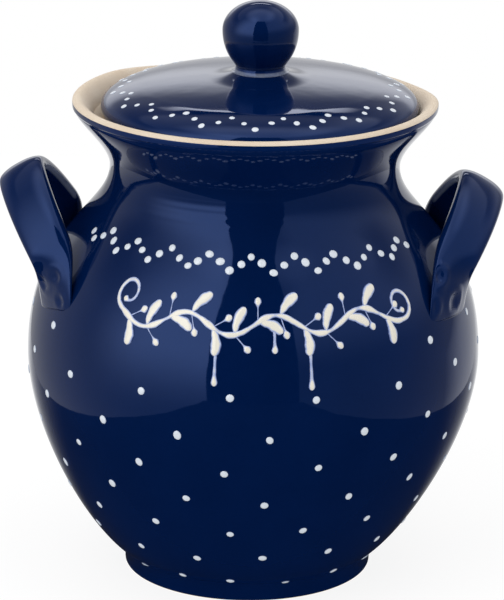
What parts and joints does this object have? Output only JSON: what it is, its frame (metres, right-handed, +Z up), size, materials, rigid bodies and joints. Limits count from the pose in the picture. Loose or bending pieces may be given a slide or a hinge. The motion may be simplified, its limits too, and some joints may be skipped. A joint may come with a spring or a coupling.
{
  "type": "potato storage pot",
  "caption": "Round-bellied glazed stoneware storage pot with a flared rim, two arched strap handles and a loose domed lid with a ball knob.",
  "frame": {"origin": "centre of the flat base, on the surface that the pot stands on", "axes": "+Z up along the pot's axis, +X towards the right handle, -Y towards the decorated front"},
  "size_m": [0.2883, 0.26, 0.3337],
  "materials": {
    "blue_glaze": "very glossy deep cobalt glaze",
    "bare_stoneware": "unglazed buff clay, wiped clean on the rim, seat and base",
    "white_slip": "raised white dots under clear gloss",
    "cream_slip": "trailed cream slip with bluish thin edges under clear gloss"
  },
  "bodies": {
    "pot": {"pot_body": "blue_glaze", "handle_left": "blue_glaze", "handle_right": "blue_glaze"},
    "lid": {"lid": "blue_glaze", "lid_knob": "blue_glaze"}
  },
  "joints": [
    {"name": "lid_lift", "type": "slide", "parent": "pot", "child": "lid", "axis": [0, 0, 1], "range_m": [0, 0.25]}
  ]
}
